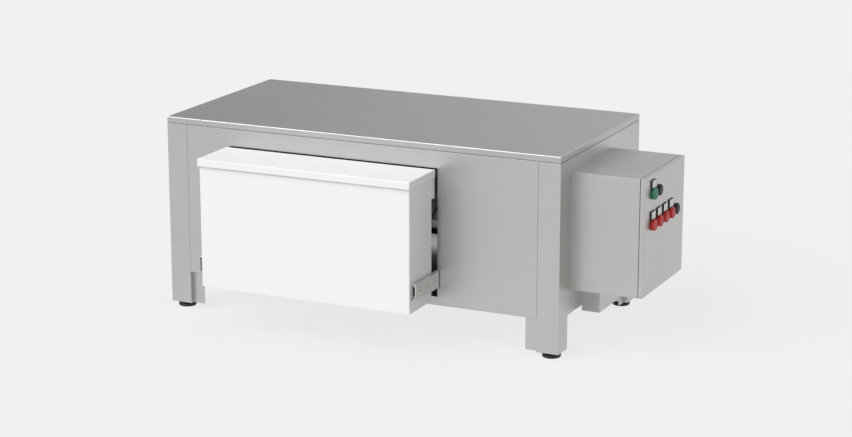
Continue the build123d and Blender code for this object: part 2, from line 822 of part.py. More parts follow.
with BuildPart() as drive_motor:
    with BuildSketch(motor_section(motor_y0)):
        Circle(motor_radius + fin_height)
    extrude(amount=motor_flange)
    with BuildSketch(motor_section(motor_y0 + motor_flange)):
        Circle(motor_radius)
        with PolarLocations(motor_radius, fin_count):
            Rectangle(2 * fin_height, fin_thickness)
    extrude(amount=motor_length)
    cover_y0 = motor_y0 + motor_flange + motor_length
    with BuildSketch(motor_section(cover_y0)):
        Circle(motor_radius + fin_height)
    extrude(amount=fan_cover_length)
    fillet(drive_motor.edges().group_by(Axis.Y)[-1], fan_cover_radius)
    with BuildSketch(Plane.XY.offset(axis_z)):
        with Locations((motor_x, motor_y0 + motor_flange + motor_length / 2)):
            Rectangle(terminal_width, terminal_length)
    extrude(amount=motor_radius + terminal_height)
    fillet(drive_motor.faces().sort_by(Axis.Z)[-1].edges(), terminal_edge_radius)
save(drive_motor, "drive_motor")

# Rotary union on the drum shaft's left end
with BuildPart() as rotary_union:
    with BuildSketch(Plane.YZ.offset(union_x0)):
        with Locations((axis_y, axis_z)):
            Circle(union_diameter / 2)
    extrude(amount=union_length)
    chamfer(rotary_union.edges().filter_by(GeomType.CIRCLE), union_chamfer)
    with BuildSketch(Plane.YZ.offset(shaft_x0 - union_gap / 2)):
        with Locations((axis_y, axis_z)):
            Circle(shaft_radius + running_clearance)
    extrude(amount=union_x1 - shaft_x0 + union_gap / 2, mode=Mode.SUBTRACT)
save(rotary_union, "rotary_union")

# Refrigerant pipes: suction from the union's top, liquid from its left end, both out at the back
with BuildPart() as suction_pipe:
    with BuildLine():
        FilletPolyline(
            (suction_x, axis_y, axis_z + union_diameter / 2),
            (suction_x, axis_y, suction_height),
            (suction_x, back + pipe_reach, suction_height),
            radius=suction_bend,
        )
    with BuildSketch(Plane.XY.offset(axis_z + union_diameter / 2)):
        with Locations((suction_x, axis_y)):
            Circle(suction_radius)
            Circle(suction_radius - suction_wall, mode=Mode.SUBTRACT)
    sweep()
    with BuildSketch(facing_front(back)):
        with Locations((suction_x, suction_height)):
            Circle(suction_radius + collar_margin)
            Circle(suction_radius - suction_wall, mode=Mode.SUBTRACT)
    extrude(amount=-collar_thickness)
save(suction_pipe, "suction_pipe")

with BuildPart() as liquid_line:
    with BuildLine():
        FilletPolyline(
            (union_x0, axis_y, axis_z),
            (liquid_x, axis_y, axis_z),
            (liquid_x, back + pipe_reach, axis_z),
            radius=liquid_bend,
        )
    with BuildSketch(Plane.YZ.offset(union_x0)):
        with Locations((axis_y, axis_z)):
            Circle(liquid_radius)
            Circle(liquid_radius - liquid_wall, mode=Mode.SUBTRACT)
    sweep()
    valve_y = front + valve_back
    with BuildSketch(Plane(origin=(liquid_x, valve_y, axis_z), x_dir=(1, 0, 0), z_dir=(0, 1, 0))):
        Circle(valve_radius)
        Circle(liquid_radius - liquid_wall, mode=Mode.SUBTRACT)
    extrude(amount=valve_length)
    with BuildSketch(Plane.XY.offset(axis_z + liquid_radius)):
        with Locations((liquid_x, valve_y + valve_length / 2)):
            Circle(valve_stem_radius)
    extrude(amount=valve_head_height)
    with BuildSketch(Plane.XY.offset(axis_z + liquid_radius + valve_head_height)):
        with Locations((liquid_x, valve_y + valve_length / 2)):
            Circle(valve_head_radius)
    extrude(amount=valve_head_radius / 2)
    fillet(liquid_line.edges().group_by(Axis.Z)[-1], valve_edge_radius)
    with BuildSketch(facing_front(back)):
        with Locations((liquid_x, axis_z)):
            Circle(liquid_radius + collar_margin)
            Circle(liquid_radius - liquid_wall, mode=Mode.SUBTRACT)
    extrude(amount=-collar_thickness)
save(liquid_line, "liquid_line")

# Float chamber: an open box on two plate legs, joined to the tank by the feed pipe
chamber_y0 = front + chamber_front
chamber_y1 = chamber_y0 + chamber_width
chamber_top = chamber_bottom + chamber_height
feed_y = front + feed_back
with BuildPart() as float_chamber:
    block(chamber_x0, chamber_x1, chamber_y0, chamber_y1, chamber_bottom, chamber_top)
    offset(amount=-chamber_wall, openings=float_chamber.faces().sort_by(Axis.Z)[-1])
    for leg_x0 in (chamber_x0, chamber_x1 - chamber_wall):
        block(leg_x0, leg_x0 + chamber_wall, chamber_y0, chamber_y1, floor_top, chamber_bottom)
    with BuildSketch(Plane.YZ.offset(chamber_x0 - chamber_wall)):
        with Locations((feed_y, feed_height)):
            Circle(feed_radius - feed_wall)
    extrude(amount=3 * chamber_wall, mode=Mode.SUBTRACT)
    with BuildSketch(Plane.YZ.offset(chamber_x1 - 2 * chamber_wall)):
        with Locations((feed_y, inlet_z)):
            Circle(inlet_bore)
    extrude(amount=3 * chamber_wall, mode=Mode.SUBTRACT)
save(float_chamber, "float_chamber")

with BuildPart() as feed_pipe:
    with BuildSketch(Plane.YZ.offset(tank_x1)):
        with Locations((feed_y, feed_height)):
            Circle(feed_radius)
            Circle(feed_radius - feed_wall, mode=Mode.SUBTRACT)
    extrude(amount=chamber_x0 - tank_x1)
save(feed_pipe, "feed_pipe")

# Water inlet: a valve block outside the chamber, its pipe, and the ears and pin of the float arm
pin_x = chamber_x1 - chamber_wall - float_ear_length
with BuildPart() as water_inlet:
    block(chamber_x1, chamber_x1 + inlet_block, feed_y - inlet_block / 2, feed_y + inlet_block,
          inlet_z - inlet_block, inlet_z + inlet_block)
    with BuildSketch(Plane(origin=(inlet_x, feed_y + inlet_block, inlet_z), x_dir=(-1, 0, 0), z_dir=(0, 1, 0))):
        Circle(inlet_radius)
    extrude(amount=back + pipe_reach - feed_y - inlet_block)
    with BuildSketch(facing_front(back)):
        with Locations((inlet_x, inlet_z)):
            Circle(inlet_radius + collar_margin)
    extrude(amount=-collar_thickness)
    with BuildSketch(Plane(origin=(inlet_x, back + pipe_reach, inlet_z), x_dir=(-1, 0, 0), z_dir=(0, -1, 0))):
        Circle(inlet_bore)
    extrude(amount=back + pipe_reach - feed_y, mode=Mode.SUBTRACT)
    with BuildSketch(Plane.YZ.offset(chamber_x1 - 2 * chamber_wall)):
        with Locations((feed_y, inlet_z)):
            Circle(inlet_bore)
    extrude(amount=2 * chamber_wall)
    for ear_y0 in (feed_y - float_eye_width / 2 - slide_running_gap - float_ear,
                   feed_y + float_eye_width / 2 + slide_running_gap):
        block(pin_x - float_eye_radius, chamber_x1 - chamber_wall, ear_y0, ear_y0 + float_ear,
              inlet_z - float_eye_radius, inlet_z + float_eye_radius)
    with BuildSketch(Plane(origin=(pin_x, feed_y - float_eye_width / 2 - float_ear, inlet_z),
                           x_dir=(-1, 0, 0), z_dir=(0, 1, 0))):
        Circle(float_pin_radius)
    extrude(amount=float_eye_width + 2 * float_ear)
save(water_inlet, "water_inlet")

# Float arm: an eye round the pin, a rod and a ball, which is drawn solid
ball_x = pin_x - float_arm_length
ball_z = inlet_z - float_drop
with BuildPart() as float_arm:
    with BuildSketch(Plane(origin=(pin_x, feed_y - float_eye_width / 2, inlet_z), x_dir=(1, 0, 0),
                           z_dir=(0, 1, 0))):
        Circle(float_eye_radius)
    extrude(amount=float_eye_width)
    rod_run = Vector(ball_x - pin_x, 0, ball_z - inlet_z)
    with BuildSketch(Plane(origin=(pin_x, feed_y, inlet_z), z_dir=rod_run)):
        Circle(float_arm_radius)
    extrude(amount=rod_run.length)
    with BuildSketch(Plane(origin=(pin_x, feed_y - float_eye_width, inlet_z), x_dir=(1, 0, 0),
                           z_dir=(0, 1, 0))):
        Circle(float_pin_radius + running_clearance)
    extrude(amount=2 * float_eye_width, mode=Mode.SUBTRACT)
    with Locations((ball_x, feed_y, ball_z)):
        Sphere(float_radius)
save(float_arm, "float_arm")

# Drain pipe: from the tank's right end down through the base plate
with BuildPart() as drain_pipe:
    with BuildLine():
        FilletPolyline(
            (tank_x1, axis_y, drain_height),
            (drain_x, axis_y, drain_height),
            (drain_x, axis_y, floor_plate - drain_tail),
            radius=drain_bend,
        )
    with BuildSketch(Plane.YZ.offset(tank_x1)):
        with Locations((axis_y, drain_height)):
            Circle(drain_radius)
            Circle(drain_radius - drain_wall, mode=Mode.SUBTRACT)
    sweep()
    with BuildSketch(Plane.XY.offset(floor_plate)):
        with Locations((drain_x, axis_y)):
            Circle(drain_radius + collar_margin)
            Circle(drain_radius - drain_wall, mode=Mode.SUBTRACT)
    extrude(amount=-collar_thickness)
save(drain_pipe, "drain_pipe")

# Control box: a steel box open to the right, with a folded rim for the gasket
duct_y0 = front + duct_front
duct_y1 = duct_y0 + duct_width
with BuildPart() as control_box:
    with BuildSketch(Plane.YZ.offset(right)):
        rectangle(box_y0, box_y1, box_bottom, box_z1)
    extrude(amount=box_depth)
    offset(amount=-box_sheet, openings=control_box.faces().sort_by(Axis.X)[-1])
    with BuildSketch(Plane.YZ.offset(box_x1 - box_sheet)):
        rectangle(box_y0, box_y1, box_bottom, box_z1)
        rectangle(box_y0 + box_rim, box_y1 - box_rim, box_bottom + box_rim, box_z1 - box_rim, Mode.SUBTRACT)
    extrude(amount=box_sheet)
    block(right + duct_lip, right + duct_depth - duct_lip, duct_y0 + duct_lip, duct_y1 - duct_lip,
          box_bottom - 1, box_bottom + box_sheet + 1, Mode.SUBTRACT)
save(control_box, "control_box")

# Cable duct: a folded cover under the control box, open above and to the cabinet
with BuildPart() as cable_duct:
    block(right, right + duct_depth, duct_y0, duct_y1, duct_bottom, box_bottom)
    block(right - 1, right + duct_depth - box_sheet, duct_y0 + box_sheet, duct_y1 - box_sheet,
          duct_bottom + box_sheet, box_bottom + 1, Mode.SUBTRACT)
save(cable_duct, "cable_duct")

# Door: a shallow pan with a round hole for each lamp and button
column_y = [box_y0 + lamp_first + column * lamp_pitch for column in range(lamp_columns)]
red_z = box_bottom + red_row
green_z = box_bottom + green_row
red_places = [(y, red_z) for y in column_y[:-1]]
green_places = [(column_y[0], green_z)]
button_places = {"start_button": (column_y[1], green_z), "reset_button": (column_y[-1], red_z)}
lamp_places = green_places + red_places
with BuildPart() as control_door:
    with BuildSketch(Plane.YZ.offset(door_back)):
        rectangle(box_y0, box_y1, box_bottom, box_z1)
    extrude(amount=door_depth)
    fillet(control_door.edges().group_by(Axis.X)[-1], door_edge_radius)
    offset(amount=-box_sheet, openings=control_door.faces().sort_by(Axis.X)[0])
    with BuildSketch(Plane.YZ.offset(door_face)):
        with Locations(*lamp_places, *button_places.values()):
            Circle(device_hole_radius)
    extrude(amount=-door_depth, mode=Mode.SUBTRACT)
save(control_door, "control_door")

with BuildPart() as door_gasket:
    with BuildSketch(Plane.YZ.offset(box_x1 + gasket_gap)):
        inset = gasket_inset
        rectangle(box_y0 + inset, box_y1 - inset, box_bottom + inset, box_z1 - inset)
        inset = gasket_inset + gasket_width
        rectangle(box_y0 + inset, box_y1 - inset, box_bottom + inset, box_z1 - inset, Mode.SUBTRACT)
    extrude(amount=door_face - box_sheet - box_x1 - gasket_gap)
save(door_gasket, "door_gasket")

# Hinges on the box's rear edge: two knuckles and a pin on the box, one knuckle on the door
hinge_x = (box_x1 + door_back) / 2
hinge_y = box_y1 + hinge_offset
hinge_zs = (box_bottom + hinge_inset, box_z1 - hinge_inset)
knuckle = hinge_height / 3


def knuckle_section(bore, leaf_x0, leaf_x1):
    """A knuckle round the hinge pin and the leaf beside it, in the sketch being drawn."""
    rectangle(leaf_x0, leaf_x1, box_y1 + hinge_leaf / 2, box_y1 + hinge_leaf)
    with Locations((hinge_x, hinge_y)):
        Circle(hinge_radius)
        Circle(bore, mode=Mode.SUBTRACT)


box_leaf_x0 = box_x1 - hinge_leaf_length - box_rim
door_leaf_x1 = door_back + hinge_door_leaf_length
with BuildPart() as box_hinge_leaves:
    for hinge_z in hinge_zs:
        for z0 in (hinge_z - hinge_height / 2, hinge_z + knuckle / 2):
            with BuildSketch(Plane.XY.offset(z0)):
                knuckle_section(hinge_pin_radius / 2, box_leaf_x0, hinge_x)
            extrude(amount=knuckle)
        block(box_leaf_x0, hinge_x - hinge_radius - hinge_leaf_gap, box_y1, box_y1 + hinge_leaf,
              hinge_z - hinge_height / 2, hinge_z + hinge_height / 2)
        with BuildSketch(Plane.XY.offset(hinge_z - hinge_height / 2)):
            with Locations((hinge_x, hinge_y)):
                Circle(hinge_pin_radius)
        extrude(amount=hinge_height)
save(box_hinge_leaves, "box_hinge_leaves")

with BuildPart() as door_hinge_leaves:
    for hinge_z in hinge_zs:
        with BuildSketch(Plane.XY.offset(hinge_z - knuckle / 2 + hinge_gap)):
            knuckle_section(hinge_pin_radius + running_clearance, hinge_x, door_leaf_x1)
        extrude(amount=knuckle - 2 * hinge_gap)
        block(hinge_x + hinge_radius, door_leaf_x1, box_y1, box_y1 + hinge_leaf,
              hinge_z - hinge_height / 2, hinge_z + hinge_height / 2)
save(door_hinge_leaves, "door_hinge_leaves")

# Label holders: a thin plate under each lamp, with a raised frame above for the label
frame_top_face = door_face + label_frame_height
with BuildPart() as label_holders:
    for place_y, place_z in lamp_places:
        with BuildSketch(Plane.YZ.offset(door_face)):
            with Locations((place_y, place_z)):
                Circle(label_holder_width / 2)
            rectangle(place_y - label_holder_width / 2, place_y + label_holder_width / 2,
                      place_z, place_z + label_frame_top)
            with Locations((place_y, place_z)):
                Circle(device_hole_radius, mode=Mode.SUBTRACT)
        extrude(amount=holder_sheet)
        block(door_face, frame_top_face, place_y - label_holder_width / 2, place_y + label_holder_width / 2,
              place_z + label_frame_start, place_z + label_frame_top)
        block(frame_top_face - label_pocket, frame_top_face + 1,
              place_y - label_holder_width / 2 + label_inset, place_y + label_holder_width / 2 - label_inset,
              place_z + label_frame_start + label_inset, place_z + label_frame_top - label_inset,
              Mode.SUBTRACT)
save(label_holders, "label_holders")

with BuildPart() as label_inserts:
    for place_y, place_z in lamp_places:
        block(frame_top_face - label_pocket, frame_top_face - label_pocket + label_thickness,
              place_y - label_holder_width / 2 + label_inset, place_y + label_holder_width / 2 - label_inset,
              place_z + label_frame_start + label_inset, place_z + label_frame_top - label_inset)
save(label_inserts, "label_inserts")

# Lamps: coloured lens caps over the holders
lens_back = door_face + holder_sheet


def lamp(label, place):
    """One lens cap with a rounded front edge."""
    with BuildPart() as lens:
        with BuildSketch(Plane.YZ.offset(lens_back)):
            with Locations(place):
                Circle(lens_radius)
        extrude(amount=lens_height)
        fillet(lens.edges().group_by(Axis.X)[-1], lens_edge_radius)
    save(lens, label)


lamp("green_lamp", green_places[0])
for number, place in enumerate(red_places, start=1):
    lamp(f"red_lamp_{number}", place)

# Push buttons: a bezel ring on the door, and a cap with a stem that slides in it
with BuildPart() as button_bezels:
    with BuildSketch(Plane.YZ.offset(door_face)):
        with Locations(*button_places.values()):
            Circle(lens_radius)
            Circle(device_hole_radius, mode=Mode.SUBTRACT)
    extrude(amount=bezel_height)
    fillet(button_bezels.edges().group_by(Axis.X)[-1], bezel_edge_radius)
save(button_bezels, "button_bezels")

cap_face = door_face + cap_rise
for label, place in button_places.items():
    with BuildPart() as button:
        with BuildSketch(Plane.YZ.offset(cap_face)):
            with Locations(place):
                Circle(cap_radius)
        extrude(amount=-cap_thickness)
        fillet(button.edges().group_by(Axis.X)[-1], cap_edge_radius)
        with BuildSketch(Plane.YZ.offset(cap_face - cap_thickness)):
            with Locations(place):
                Circle(cap_stem_radius)
        extrude(amount=-cap_stem_length)
    save(button, label)

# Contact blocks behind the door: a neck through the hole, a nut and a block
door_inside = door_face - box_sheet
block_front = door_inside - block_standoff
with BuildPart() as contact_blocks:
    for place in lamp_places + list(button_places.values()):
        neck_front = lens_back if place in lamp_places else door_face
        with BuildSketch(Plane.YZ.offset(block_front)):
            with Locations(place):
                Rectangle(block_width, block_width)
        extrude(amount=-block_depth)
        with BuildSketch(Plane.YZ.offset(block_front)):
            with Locations(place):
                Circle(neck_radius)
        extrude(amount=neck_front - block_front)
        with BuildSketch(Plane.YZ.offset(door_inside)):
            with Locations(place):
                Circle(nut_radius)
        extrude(amount=-nut_thickness)
    with BuildSketch(Plane.YZ.offset(block_front)):
        with Locations(*button_places.values()):
            Circle(neck_bore)
    extrude(amount=door_depth + block_standoff, mode=Mode.SUBTRACT)
    with BuildSketch(Plane.YZ.offset(door_inside)):
        with Locations(*button_places.values()):
            Circle(neck_radius)
    extrude(amount=door_depth, mode=Mode.SUBTRACT)
save(contact_blocks, "contact_blocks")

# Mounting plate in the box, with its spacers and the two device rails
plate_x0 = right + box_sheet + plate_standoff
plate_x1 = plate_x0 + plate_thickness
plate_y0 = box_y0 + plate_margin
plate_y1 = box_y1 - plate_margin
rail_zs = (box_bottom + lower_rail, box_bottom + upper_rail)
with BuildPart() as mounting_plate:
    block(plate_x0, plate_x1, plate_y0, plate_y1, box_bottom + plate_margin, box_z1 - plate_margin)
    with BuildSketch(Plane.YZ.offset(plate_x0)):
        for corner_y in (plate_y0 + plate_margin, plate_y1 - plate_margin):
            for corner_z in (box_bottom + 2 * plate_margin, box_z1 - 2 * plate_margin):
                with Locations((corner_y, corner_z)):
                    Circle(standoff_radius)
    extrude(amount=-plate_standoff)
    for rail_z in rail_zs:
        block(plate_x1, plate_x1 + rail_depth, plate_y0 + rail_margin, plate_y1 - rail_margin,
              rail_z - rail_width / 2, rail_z + rail_width / 2)
save(mounting_plate, "mounting_plate")

rail_face = plate_x1 + rail_depth
box_middle = (box_y0 + box_y1) / 2
with BuildPart() as contactors:
    for number in range(contactor_count):
        contactor_y = box_middle + (number - (contactor_count - 1) / 2) * contactor_pitch
        block(rail_face, rail_face + contactor_base_depth,
              contactor_y - contactor_width / 2, contactor_y + contactor_width / 2,
              rail_zs[1] - contactor_height / 2, rail_zs[1] + contactor_height / 2)
        block(rail_face + contactor_base_depth, rail_face + contactor_depth,
              contactor_y - contactor_width / 2, contactor_y + contactor_width / 2,
              rail_zs[1] - contactor_head_height / 2, rail_zs[1] + contactor_head_height / 2)
save(contactors, "contactors")

with BuildPart() as terminal_strip:
    strip_half = terminal_count * terminal_pitch / 2
    block(rail_face, rail_face + terminal_block_depth, box_middle - strip_half, box_middle + strip_half,
          rail_zs[0] - terminal_block_height / 2, rail_zs[0] + terminal_block_height / 2)
    for number in range(1, terminal_count):
        slot_y = box_middle - strip_half + number * terminal_pitch
        block(rail_face + terminal_block_depth / 2, rail_face + terminal_block_depth + 1,
              slot_y - terminal_slot / 2, slot_y + terminal_slot / 2,
              rail_zs[0] - terminal_block_height / 2, rail_zs[0] + terminal_block_height / 2, Mode.SUBTRACT)
save(terminal_strip, "terminal_strip")
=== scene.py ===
"""Looks of a flake ice machine: satin steel cabinet, white ice hood and control box.

Metres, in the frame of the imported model: X to the machine's right, Y to its back, Z up.
"""
import bpy
from math import cos, radians, sin
from mathutils import Matrix, Vector


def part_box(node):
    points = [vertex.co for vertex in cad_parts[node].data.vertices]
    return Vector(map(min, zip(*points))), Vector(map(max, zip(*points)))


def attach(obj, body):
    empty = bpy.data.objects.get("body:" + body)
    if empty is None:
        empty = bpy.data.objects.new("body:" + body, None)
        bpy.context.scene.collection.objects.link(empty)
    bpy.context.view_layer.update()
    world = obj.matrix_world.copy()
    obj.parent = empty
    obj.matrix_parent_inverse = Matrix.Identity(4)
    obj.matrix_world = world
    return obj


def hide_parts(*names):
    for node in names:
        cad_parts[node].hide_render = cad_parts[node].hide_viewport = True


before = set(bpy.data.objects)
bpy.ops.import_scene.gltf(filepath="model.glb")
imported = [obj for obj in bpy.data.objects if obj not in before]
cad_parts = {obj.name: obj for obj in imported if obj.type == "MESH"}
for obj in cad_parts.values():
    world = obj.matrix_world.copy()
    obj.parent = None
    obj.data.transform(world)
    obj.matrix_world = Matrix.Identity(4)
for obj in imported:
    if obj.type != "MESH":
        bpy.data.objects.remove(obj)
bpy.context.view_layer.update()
bpy.ops.object.select_all(action="DESELECT")
scene = bpy.context.scene
scene.view_settings.view_transform = "Standard"

# Camera
# A long lens in front of the machine and to its right, a little above it.
# Its place and angle were worked out from the cabinet's edges in the photograph.
bpy.ops.object.camera_add(location=(2.5555, -5.4675, 1.8623),
                          rotation=(radians(90 - 14.701), 0, radians(25.123)))
camera = bpy.context.object
camera.name = "camera"
camera.data.lens = 95.59
camera.data.sensor_width = 36
camera.data.clip_end = 200
scene.camera = camera

# Floor
# A plain pale studio floor, matt and seamless, that runs past the edges of the view.
# Straight and mirrored sight of it is evened out, and it keeps a faint shadow. It throws back
# little light, so that the machine's lower sides stay as dark as over an open floor.
floor_size = 60.0
floor_colour = "#EEEEEE"
bounce_colour = "#BEBEBE"
floor_evenness = 0.87


def linear(hex_colour):
    """An sRGB hex colour as linear red, green, blue and alpha."""
    channels = [int(hex_colour[start:start + 2], 16) / 255 for start in (1, 3, 5)]
    return tuple(c / 12.92 if c <= 0.04045 else ((c + 0.055) / 1.055) ** 2.4 for c in channels) + (1.0,)


def add_node(tree, kind, values=None, links=None, **settings):
    """Adds a node with its settings, its input values and the outputs that feed its inputs."""
    node = tree.nodes.new(kind)
    for name, value in settings.items():
        setattr(node, name, value)
    for name, value in (values or {}).items():
        node.inputs[name].default_value = value
    for name, source in (links or {}).items():
        tree.links.new(source, node.inputs[name])
    return node


def new_material(name):
    """An empty node material, and its tree."""
    material = bpy.data.materials.new(name)
    material.use_nodes = True
    material.node_tree.nodes.clear()
    return material, material.node_tree


# Painted studio floor: matt, so it only shows as an even pale tone
floor_paint, tree = new_material("matt floor paint")
rays = add_node(tree, "ShaderNodeLightPath")
seen = add_node(tree, "ShaderNodeMath", operation="MAXIMUM",
                links={0: rays.outputs["Is Camera Ray"], 1: rays.outputs["Is Glossy Ray"]})
seen = add_node(tree, "ShaderNodeMath", operation="MAXIMUM",
                links={0: seen.outputs[0], 1: rays.outputs["Is Transmission Ray"]})
evened = add_node(tree, "ShaderNodeMath", {1: floor_evenness}, {0: seen.outputs[0]}, operation="MULTIPLY")
tone = add_node(tree, "ShaderNodeMix", {"A": linear(bounce_colour), "B": linear(floor_colour)},
                {"Factor": seen.outputs[0]}, data_type="RGBA")
paint = add_node(tree, "ShaderNodeBsdfDiffuse", links={"Color": tone.outputs["Result"]})
glow = add_node(tree, "ShaderNodeEmission", {"Color": linear("#F1F1F1"), "Strength": 1.0})
mixed = add_node(tree, "ShaderNodeMixShader",
                 links={0: evened.outputs[0], 1: paint.outputs[0], 2: glow.outputs[0]})
add_node(tree, "ShaderNodeOutputMaterial", links={"Surface": mixed.outputs[0]})

bpy.ops.mesh.primitive_plane_add(size=floor_size)
floor = bpy.context.object
floor.name = "floor"
floor.data.materials.append(floor_paint)

# Light
# A large soft lamp high in front and to the left, in a grey room with three paler soft patches.
# Together they light white board on top and in front alike, and the right sides less.
lamp_elevation = 40.0
lamp_turn = 27.0
lamp_strength = 2.5
lamp_softness = 55.0
room_level = 0.38
# Each patch: the direction of its middle, where it begins and is full, and how much it adds
room_patches = (((0.5, 0.86, 0.0), 0.32, 0.72, 0.62),
                ((0.6, -0.8, 0.0), 0.5, 0.95, 0.3),
                ((0.0, 0.0, 1.0), 0.5, 0.9, 0.18))

bpy.ops.object.light_add(type="SUN", location=(-1.5, -2.5, 4),
                         rotation=(radians(90 - lamp_elevation), 0, radians(-lamp_turn)))
key_light = bpy.context.object
key_light.name = "key_light"
key_light.data.energy = lamp_strength
key_light.data.angle = radians(lamp_softness)
room = bpy.data.worlds.new("room")
room.use_nodes = True
tree = room.node_tree
tree.nodes.clear()
around = add_node(tree, "ShaderNodeTexCoord")
level = add_node(tree, "ShaderNodeMath", {0: room_level, 1: 0.0}, operation="ADD")
for patch_middle, begins, full, gain in room_patches:
    direction = add_node(tree, "ShaderNodeVectorMath", {1: patch_middle}, {0: around.outputs["Generated"]},
                         operation="DOT_PRODUCT")
    patch = add_node(tree, "ShaderNodeMapRange",
                     {"From Min": begins, "From Max": full, "To Min": 0.0, "To Max": gain},
                     {"Value": direction.outputs["Value"]}, interpolation_type="SMOOTHSTEP")
    level = add_node(tree, "ShaderNodeMath", links={0: level.outputs[0], 1: patch.outputs[0]}, operation="ADD")
walls = add_node(tree, "ShaderNodeBackground", links={"Strength": level.outputs[0]})
add_node(tree, "ShaderNodeOutputWorld", links={"Surface": walls.outputs[0]})
scene.world = room

# Legs and levelling feet
# Square steel tube legs, ground to a satin finish, with welded gussets and end plates.
# Each stands on a black moulded foot with a hexagon nut on its threaded stem.


def dress(material, *nodes):
    """Gives one material to all faces of some of the model's own pieces."""
    for name in nodes:
        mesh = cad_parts[name].data
        mesh.materials.clear()
        mesh.materials.append(material)


def satin_steel(name, colour, grain, roughness=0.4):
    """Stainless sheet ground with fine grit. grain is how far a scratch runs along X, Y and Z, in metres."""
    material, tree = new_material(name)
    place = add_node(tree, "ShaderNodeTexCoord")
    along = add_node(tree, "ShaderNodeMapping", {"Scale": tuple(1 / length for length in grain)},
                     {"Vector": place.outputs["Object"]})
    scratches = add_node(tree, "ShaderNodeTexNoise", {"Scale": 1.0, "Detail": 3.0, "Roughness": 0.6},
                         {"Vector": along.outputs[0]})
    clouds = add_node(tree, "ShaderNodeTexNoise", {"Scale": 3.5, "Detail": 2.0},
                      {"Vector": place.outputs["Object"]})
    tone = add_node(tree, "ShaderNodeMath", {1: 0.5}, {0: scratches.outputs[0]}, operation="MULTIPLY")
    tone = add_node(tree, "ShaderNodeMath", {1: 0.5, 2: 0.0},
                    {0: clouds.outputs[0], 2: tone.outputs[0]}, operation="MULTIPLY_ADD")
    shade = add_node(tree, "ShaderNodeMapRange",
                     {"From Min": 0.3, "From Max": 0.7, "To Min": 0.955, "To Max": 1.035},
                     {"Value": tone.outputs[0]})
    steel = add_node(tree, "ShaderNodeVectorMath", {0: linear(colour)[:3]}, {"Scale": shade.outputs[0]},
                     operation="SCALE")
    rough = add_node(tree, "ShaderNodeMapRange",
                     {"From Min": 0.3, "From Max": 0.7, "To Min": roughness - 0.05, "To Max": roughness + 0.05},
                     {"Value": scratches.outputs[0]})
    edge = add_node(tree, "ShaderNodeBevel", {"Radius": 0.0012}, samples=4)
    relief = add_node(tree, "ShaderNodeBump", {"Strength": 0.06, "Distance": 0.0003},
                      {"Height": scratches.outputs[0], "Normal": edge.outputs[0]})
    surface = add_node(tree, "ShaderNodeBsdfPrincipled", {"Metallic": 1.0},
                       {"Base Color": steel.outputs[0], "Roughness": rough.outputs[0],
                        "Normal": relief.outputs[0]})
    add_node(tree, "ShaderNodeOutputMaterial", links={"Surface": surface.outputs[0]})
    return material


def moulded(name, colour, roughness, grit, relief_height=0.0002, coat=0.0, variation=0.04):
    """Moulded plastic with a fine spark-eroded grain. grit is the grain's size in metres."""
    material, tree = new_material(name)
    place = add_node(tree, "ShaderNodeTexCoord")
    grain = add_node(tree, "ShaderNodeTexNoise", {"Scale": 1 / grit, "Detail": 4.0, "Roughness": 0.6},
                     {"Vector": place.outputs["Object"]})
    clouds = add_node(tree, "ShaderNodeTexNoise", {"Scale": 9.0, "Detail": 2.0},
                      {"Vector": place.outputs["Object"]})
    shade = add_node(tree, "ShaderNodeMapRange",
                     {"From Min": 0.3, "From Max": 0.7, "To Min": 1 - variation, "To Max": 1 + variation / 3},
                     {"Value": clouds.outputs[0]})
    pigment = add_node(tree, "ShaderNodeVectorMath", {0: linear(colour)[:3]}, {"Scale": shade.outputs[0]},
                       operation="SCALE")
    rough = add_node(tree, "ShaderNodeMapRange",
                     {"From Min": 0.3, "From Max": 0.7, "To Min": roughness - 0.06, "To Max": roughness + 0.06},
                     {"Value": grain.outputs[0]})
    relief = add_node(tree, "ShaderNodeBump", {"Strength": 0.15, "Distance": relief_height},
                      {"Height": grain.outputs[0]})
    surface = add_node(tree, "ShaderNodeBsdfPrincipled",
                       {"IOR": 1.5, "Coat Weight": coat, "Coat Roughness": 0.08},
                       {"Base Color": pigment.outputs[0], "Roughness": rough.outputs[0],
                        "Normal": relief.outputs[0]})
    add_node(tree, "ShaderNodeOutputMaterial", links={"Surface": surface.outputs[0]})
    return material


# Satin stainless steel: even soft grey with a slight warm cast. Its scratches are far finer
# than a pixel, so they are drawn about 1.5 mm wide and very faint
steel_colour = "#C6C5C3"
upright_steel = satin_steel("satin stainless sheet", steel_colour, (0.12, 0.12, 0.0015))
# Black polyamide: dull moulded grain that shows as a charcoal tone with soft edges
black_polyamide = moulded("black moulded polyamide", "#1F1F20", 0.55, 0.0012)

leg_names = ("front_left_leg", "front_right_leg", "rear_left_leg", "rear_right_leg")
dress(upright_steel, *leg_names)
dress(black_polyamide, "levelling_feet")


def facing(place, outward):
    """The move that puts a piece made at the origin, upright, at a place with its top facing outward."""
    return Matrix.Translation(place) @ Vector(outward).to_track_quat("Z", "Y").to_matrix().to_4x4()


def settle(piece, name, material, body, bevel=0.0):
    """Ends a piece: rounds its sharp edges, shades it, and gives it its name, finish and body."""
    bpy.ops.object.select_all(action="DESELECT")
    piece.select_set(True)
    bpy.context.view_layer.objects.active = piece
    bpy.ops.object.transform_apply(location=True, rotation=True, scale=True)
    if bevel:
        rounding = piece.modifiers.new("rounding", "BEVEL")
        rounding.width = bevel
        rounding.segments = 2
        rounding.limit_method = "ANGLE"
        rounding.angle_limit = radians(35)
        bpy.ops.object.modifier_apply(modifier="rounding")
    bpy.ops.object.shade_smooth_by_angle(angle=radians(32))
    piece.name = name
    piece.data.name = name
    piece.data.materials.clear()
    piece.data.materials.append(material)
    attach(piece, body)
    return piece


